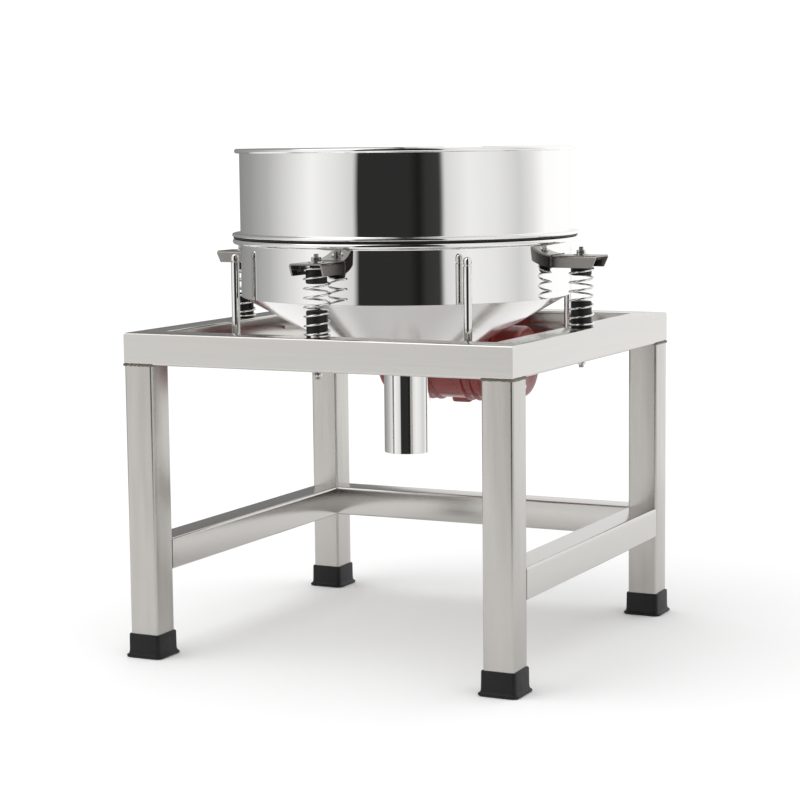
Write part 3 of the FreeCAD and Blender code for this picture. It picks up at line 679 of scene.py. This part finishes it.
# %% Keep the edges that run one way, inside a circle, and give them a wire's thickness
one_end = weave.node("GeometryNodeInputMeshEdgeVertices", output="Position 1")
other_end = weave.node("GeometryNodeInputMeshEdgeVertices", output="Position 2")
run = weave.node("ShaderNodeVectorMath", settings={"operation": "SUBTRACT"}, _0=one_end, _1=other_end)
apart = weave.node("ShaderNodeSeparateXYZ", Vector=run).node
crosswise = weave.maths("GREATER_THAN", weave.maths("ABSOLUTE", apart.outputs["Y"]), 0.0001)
long_way = weave.node("GeometryNodeDeleteGeometry", settings={"domain": "EDGE", "mode": "EDGE_FACE"},
                      Geometry=lifted, Selection=crosswise)
reach = weave.node("ShaderNodeVectorMath", output="Value", settings={"operation": "LENGTH"}, _0=at)
outside = weave.maths("GREATER_THAN", reach, weave.size("Radius"))
round_cut = weave.node("GeometryNodeDeleteGeometry", settings={"domain": "POINT"}, Geometry=long_way,
                       Selection=outside)
lines = weave.node("GeometryNodeMeshToCurve", Mesh=round_cut)
cut = weave.node("GeometryNodeCurvePrimitiveCircle", Resolution=4, Radius=weave.size("Wire"))
weave.finished_by(weave.node("GeometryNodeCurveToMesh", Curve=lines, Profile_Curve=cut), weave_steel)
print("weave tree", len(weave.tree.nodes), "nodes")

# %% Both families
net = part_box("screen_mesh")
level = Matrix.Translation((0, 0, (net[0].z + net[1].z) / 2))
weave.grow("wires_left_to_right", weave_steel, "screen", "screen_mesh", place=level, Radius=net[1].x,
           Shift=0.0)
weave.grow("wires_front_to_rear", weave_steel, "screen", place=level @ swung(90), Radius=net[1].x, Shift=1.0)

# %% [markdown]
# ## Vibration motor
# The motor is a cast shell with ribs, closed by two round covers over its eccentric weights, and
# painted dark red all over. Its shaft runs left to right and its feet lie along the cone's slope.
# The shells are profiles turned round the shaft, put in place with the motor's own slope.

# %% Where the motor is
slope = math.atan2(joint - neck, barrel - spout)
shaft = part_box("rotor_shaft")
centre = (shaft[0] + shaft[1]) / 2
motor = Matrix.Translation(centre) @ Matrix.Rotation(slope, 4, "X")
lengthwise = motor @ Matrix.Rotation(math.pi / 2, 4, "Y")
print("motor centre", [round(v, 4) for v in centre], "slope", round(math.degrees(slope), 1))

# %% Ribbed shell
shell_radius, half_length, rounding = 0.050, 0.060, 0.002
rib_foot, rib_flank, rib_side = 0.0024, 0.0015, shell_radius + 0.0022
housing = [(0, -half_length), (shell_radius - rounding, -half_length)]
housing += bow((shell_radius - rounding, rounding - half_length), rounding, -90, 0, 4)
for place in (-0.046, -0.034, -0.022, 0.022, 0.034, 0.046):
    housing += [(shell_radius, place - rib_foot), (rib_side, place - rib_flank)]
    housing += bow((shell_radius + 0.0018, place), 0.0012, -70, 70, 5)
    housing += [(rib_side, place + rib_flank), (shell_radius, place + rib_foot)]
housing += bow((shell_radius - rounding, half_length - rounding), rounding, 0, 90, 4) + [(0, half_length)]
turned("motor_shell", housing, red_paint, "sieve", "motor_housing", segments=96, place=lengthwise)

# %% End covers
cover_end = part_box("motor_end_covers")[1].x
r, step, dome, dimple = 0.0465, 0.0008, 0.006, 0.001
cap = [(0, half_length), (r, half_length), (r, half_length + 0.004), (r - step, half_length + 0.005)]
cap += [(r - step, cover_end - 0.007)] + bow((r - step - dome, cover_end - dome), dome, 0, 90, 8)
cap += [(0.022, cover_end), (0.0205, cover_end - dimple), (0, cover_end - dimple)]
for side, sign in (("right", 1), ("left", -1)):
    turned_cap = [(radius, sign * z) for radius, z in cap]
    hat = turned("motor_cover_" + side, turned_cap, red_paint, "sieve", segments=96, place=lengthwise)
    if side == "right":
        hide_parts("motor_end_covers")

# %% Foot lugs, cast on the shell: a flat ear and a web under it
BOX_FACES = ((0, 1, 3, 2), (4, 6, 7, 5), (0, 4, 5, 1), (2, 3, 7, 6), (0, 2, 6, 4), (1, 5, 7, 3))
ear = (0.020, 0.046), (0.024, 0.056), (0.0442, 0.0542)
web = (0.0206, 0.0454), (0.0246, 0.038), (0.024, 0.0536)
vertices, faces = [], []
for sx in (-1, 1):
    for sy in (-1, 1):
        for xs, ys, zs in (ear, web):
            start = len(vertices)
            vertices += [(sx * x, sy * y, z) for x in xs for y in ys for z in zs]
            faces += [tuple(start + i for i in quad) for quad in BOX_FACES]
lugs = piece("motor_lugs", vertices, faces, red_paint, "sieve", place=motor)
soften = lugs.modifiers.new("cast_edges", "BEVEL")
soften.width, soften.segments, soften.limit_method = 0.0015, 3, "ANGLE"

# %% [markdown]
# ## Cover screws and weld beads
# Small things that repeat along a line are grown from that line. Four cap screws sit round each
# motor cover. A weld is a row of overlapping drops of metal along a joint: the tree spaces small
# balls along each line and varies their size with a fixed seed.

# %% Cover screws
screw_radius, screw_height, screw_circle = 0.003, 0.0025, 0.033
head = bmesh.new()
bmesh.ops.create_cone(head, cap_ends=True, segments=20, radius1=screw_radius, radius2=screw_radius,
                      depth=screw_height, matrix=Matrix.Rotation(math.pi / 2, 4, "Y"))
cap_mesh = bpy.data.meshes.new("cap_screw")
head.to_mesh(cap_mesh)
head.free()
cap_screw = bpy.data.objects.new("cap_screw", cap_mesh)
spots = []
for end in (-1, 1):
    for quarter in range(4):
        angle = math.radians(45 + 90 * quarter)
        spot = Vector((screw_circle * math.cos(angle), screw_circle * math.sin(angle), end * cover_end))
        spots.append(lengthwise @ spot)
copies("cover_screws", cap_screw, spots, zinc, "sieve")

# %% A tree that lays weld beads
weld = Tree("weld_bead", Spacing=0.0022, Ball=0.0018, Seed=7)
seam_lines = weld.node("GeometryNodeMeshToCurve", Mesh=weld.size("Geometry"))
spaced = weld.node("GeometryNodeResampleCurve", settings={"mode": "LENGTH"}, Curve=seam_lines,
                   Length=weld.size("Spacing"))
drop = weld.node("GeometryNodeMeshIcoSphere", Radius=weld.size("Ball"), Subdivisions=2)
varied = weld.node("FunctionNodeRandomValue", output=1, _2=0.7, _3=1.15, Seed=weld.size("Seed"))
laid = weld.node("GeometryNodeInstanceOnPoints", Points=spaced, Instance=drop, Scale=varied)
weld.finished_by(laid, weld_steel)


def weld_lines(name, loops, body, **sizes):
    """Weld beads along closed or open runs of points."""
    points, edges = [], []
    for loop in loops:
        edges += [(len(points) + i, len(points) + i + 1) for i in range(len(loop) - 1)]
        points += [tuple(p) for p in loop]
    lines = bpy.data.meshes.new(name)
    lines.from_pydata(points, edges, [])
    return weld.grow(name, weld_steel, body, base=lines, **sizes)


# %% Beads round the leg tops, and where the brackets meet the barrel
def square_run(x, y, z, half):
    """Closed run round a square leg."""
    return [(x + sx * half, y + sy * half, z) for sx, sy in ((-1, -1), (1, -1), (1, 1), (-1, 1), (-1, -1))]


edge = tube / 2 - 0.0004
leg_runs = [square_run(x * beam_line, y * beam_line, beam_low, edge) for x, y in CORNERS.values()]
weld_lines("welds_leg_tops", leg_runs, "frame")
bracket_low, bracket_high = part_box("spring_bracket_right")
half = bracket_high.y
across_bracket = [half * (i / 8 - 1) for i in range(17)]
arc = [Vector((math.sqrt(barrel ** 2 - y ** 2), y, bracket_high.z)) for y in across_bracket]
run = [Vector((arc[0].x, -half, bracket_low.z)), *arc, Vector((arc[-1].x, half, bracket_low.z))]
bracket_runs = [[swung(degrees) @ point for point in run] for degrees in SIDES.values()]
weld_lines("welds_brackets", bracket_runs, "sieve", Ball=0.0011, Spacing=0.0017)

# %% CAD parts that keep their shape
kept = {satin: ("corner_braces", "motor_bracket"), zinc: ("motor_bolts",),
        red_paint: ("terminal_box", "terminal_lid"), plastic: ("cable_gland",),
        turned_steel: ("motor_bearings", "motor_stator", "rotor_shaft", "rotor_core", "eccentric_weights")}
for material, names in kept.items():
    for name in names:
        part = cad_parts[name]
        part.data.materials.clear()
        part.data.materials.append(material)
print("kept", sum(len(names) for names in kept.values()))

# %% [markdown]
# ## Studio and camera
# The machine stands on a plain pale floor under soft light. Polished sheet shows what is around
# it, so the studio has a dark opening behind the camera between pale walls: that gives the dark
# upright band in the barrels. The walls only show in reflections. Everything else gets even light.

# %% Floor
bpy.ops.mesh.primitive_circle_add(vertices=96, radius=1.4, fill_type="NGON", location=(0, 0, -0.0005))
floor = bpy.context.active_object
floor.name = "floor"
pale = bpy.data.materials.new("pale_floor")
pale.use_nodes = True
floor_shader = pale.node_tree.nodes["Principled BSDF"]
floor_shader.inputs["Base Color"].default_value = (0.95, 0.95, 0.95, 1)
floor_shader.inputs["Roughness"].default_value = 0.9
floor.data.materials.append(pale)
print("floor", [round(v, 2) for v in floor.dimensions])

# %% Camera
view_azimuth, view_pitch, view_roll = math.radians(26.3), math.radians(6.74), math.radians(-0.6)
distance = 5.393 * 2 * half_side
back = Vector((math.sin(view_azimuth) * math.cos(view_pitch), -math.cos(view_azimuth) * math.cos(view_pitch),
               math.sin(view_pitch)))
right = Vector((math.cos(view_azimuth), math.sin(view_azimuth), 0))
up = back.cross(right)
aim = Vector((0, 0, 0.293)) - right * 0.0089
camera = bpy.data.objects.new("camera", bpy.data.cameras.new("camera"))
bpy.context.scene.collection.objects.link(camera)
camera.data.lens = 98.0
camera.data.sensor_width = 36
tilt_right = right * math.cos(view_roll) + up * math.sin(view_roll)
tilt_up = up * math.cos(view_roll) - right * math.sin(view_roll)
axes = Matrix((tilt_right, tilt_up, back)).transposed().to_4x4()
camera.matrix_world = Matrix.Translation(aim + back * distance) @ axes
bpy.context.scene.camera = camera
print("camera at", [round(v, 3) for v in camera.location])

# %% Studio walls, as the reflections see them
world = bpy.data.worlds.new("studio")
bpy.context.scene.world = world
world.use_nodes = True
nodes, links = world.node_tree.nodes, world.node_tree.links
direction = nodes.new("ShaderNodeTexCoord")
turn = nodes.new("ShaderNodeVectorRotate")
turn.rotation_type = "Z_AXIS"
turn.inputs["Angle"].default_value = math.pi / 2 - view_azimuth
parts = nodes.new("ShaderNodeSeparateXYZ")
links.new(direction.outputs["Generated"], turn.inputs["Vector"])
links.new(turn.outputs["Vector"], parts.inputs["Vector"])
heading = nodes.new("ShaderNodeMath")
heading.operation = "ARCTAN2"
links.new(parts.outputs["Y"], heading.inputs[0])
links.new(parts.outputs["X"], heading.inputs[1])
spread = nodes.new("ShaderNodeMapRange")
spread.inputs["From Min"].default_value = -math.pi
spread.inputs["From Max"].default_value = math.pi
links.new(heading.outputs["Value"], spread.inputs["Value"])
walls = nodes.new("ShaderNodeValToRGB")
links.new(spread.outputs["Result"], walls.inputs["Fac"])
bands = [(-180, 0.22), (-135, 0.38), (-110, 0.55), (-88, 0.85), (-68, 1.12), (-50, 0.97), (-36, 0.80),
         (-32.5, 0.03), (2, 0.03), (9, 0.012), (14, 0.04), (23.5, 0.05), (27, 0.85), (44, 1.06), (64, 0.98),
         (85, 0.78), (97, 0.94), (112, 1.24), (150, 1.22), (180, 0.9)]
ramp = walls.color_ramp
while len(ramp.elements) < len(bands):
    ramp.elements.new(0.5)
for element, (degrees, light) in zip(ramp.elements, bands):
    element.position = (degrees + 180) / 360
    element.color = (light, light, light, 1)
print("studio walls", len(bands), "bands")

# %% Even light for everything that isn't a reflection
path = nodes.new("ShaderNodeLightPath")
mixed = nodes.new("ShaderNodeMix")
mixed.data_type = "RGBA"
links.new(path.outputs["Is Glossy Ray"], mixed.inputs["Factor"])
mixed.inputs["A"].default_value = (1.06, 1.06, 1.06, 1)
links.new(walls.outputs["Color"], mixed.inputs["B"])
links.new(mixed.outputs["Result"], nodes["Background"].inputs["Color"])
nodes["Background"].inputs["Strength"].default_value = 1.0
bpy.context.scene.view_settings.view_transform = "Standard"
lamp = bpy.data.objects.new("overhead_softbox", bpy.data.lights.new("overhead_softbox", "AREA"))
lamp.data.size = 1.6
lamp.data.energy = 10
lamp.location = (-0.7, -0.9, 2.2)
lamp.rotation_euler = (Vector((0, 0, 0.4)) - lamp.location).to_track_quat("-Z", "Y").to_euler()
bpy.context.scene.collection.objects.link(lamp)
print("softbox", lamp.data.energy, "W")
